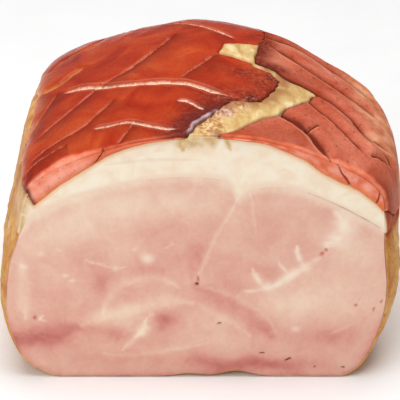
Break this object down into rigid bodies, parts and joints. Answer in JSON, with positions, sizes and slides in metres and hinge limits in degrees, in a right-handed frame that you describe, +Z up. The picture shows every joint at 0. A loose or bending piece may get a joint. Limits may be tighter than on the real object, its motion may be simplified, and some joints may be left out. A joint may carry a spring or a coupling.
{
  "type": "cooked ham joint",
  "caption": "Block of baked ham with a flat cut front, pink lean meat, a cap of fat and a scored brown rind, to stand on a table or board.",
  "frame": {"origin": "middle of the ham's box, at the bottom, on the surface it rests on", "axes": "+X to the right across the cut face as its viewer sees it, +Y back from the cut face, +Z up"},
  "size_m": [0.1883, 0.1657, 0.1327],
  "materials": {
    "lean": "moist cut cooked meat, pink with paler marbling, satin",
    "fat": "moist cream fat, soft satin",
    "rind": "baked glossy red-brown skin, scored"
  },
  "bodies": {
    "root": {"lean_meat": "lean", "fat_cap": "fat"}
  },
  "joints": []
}
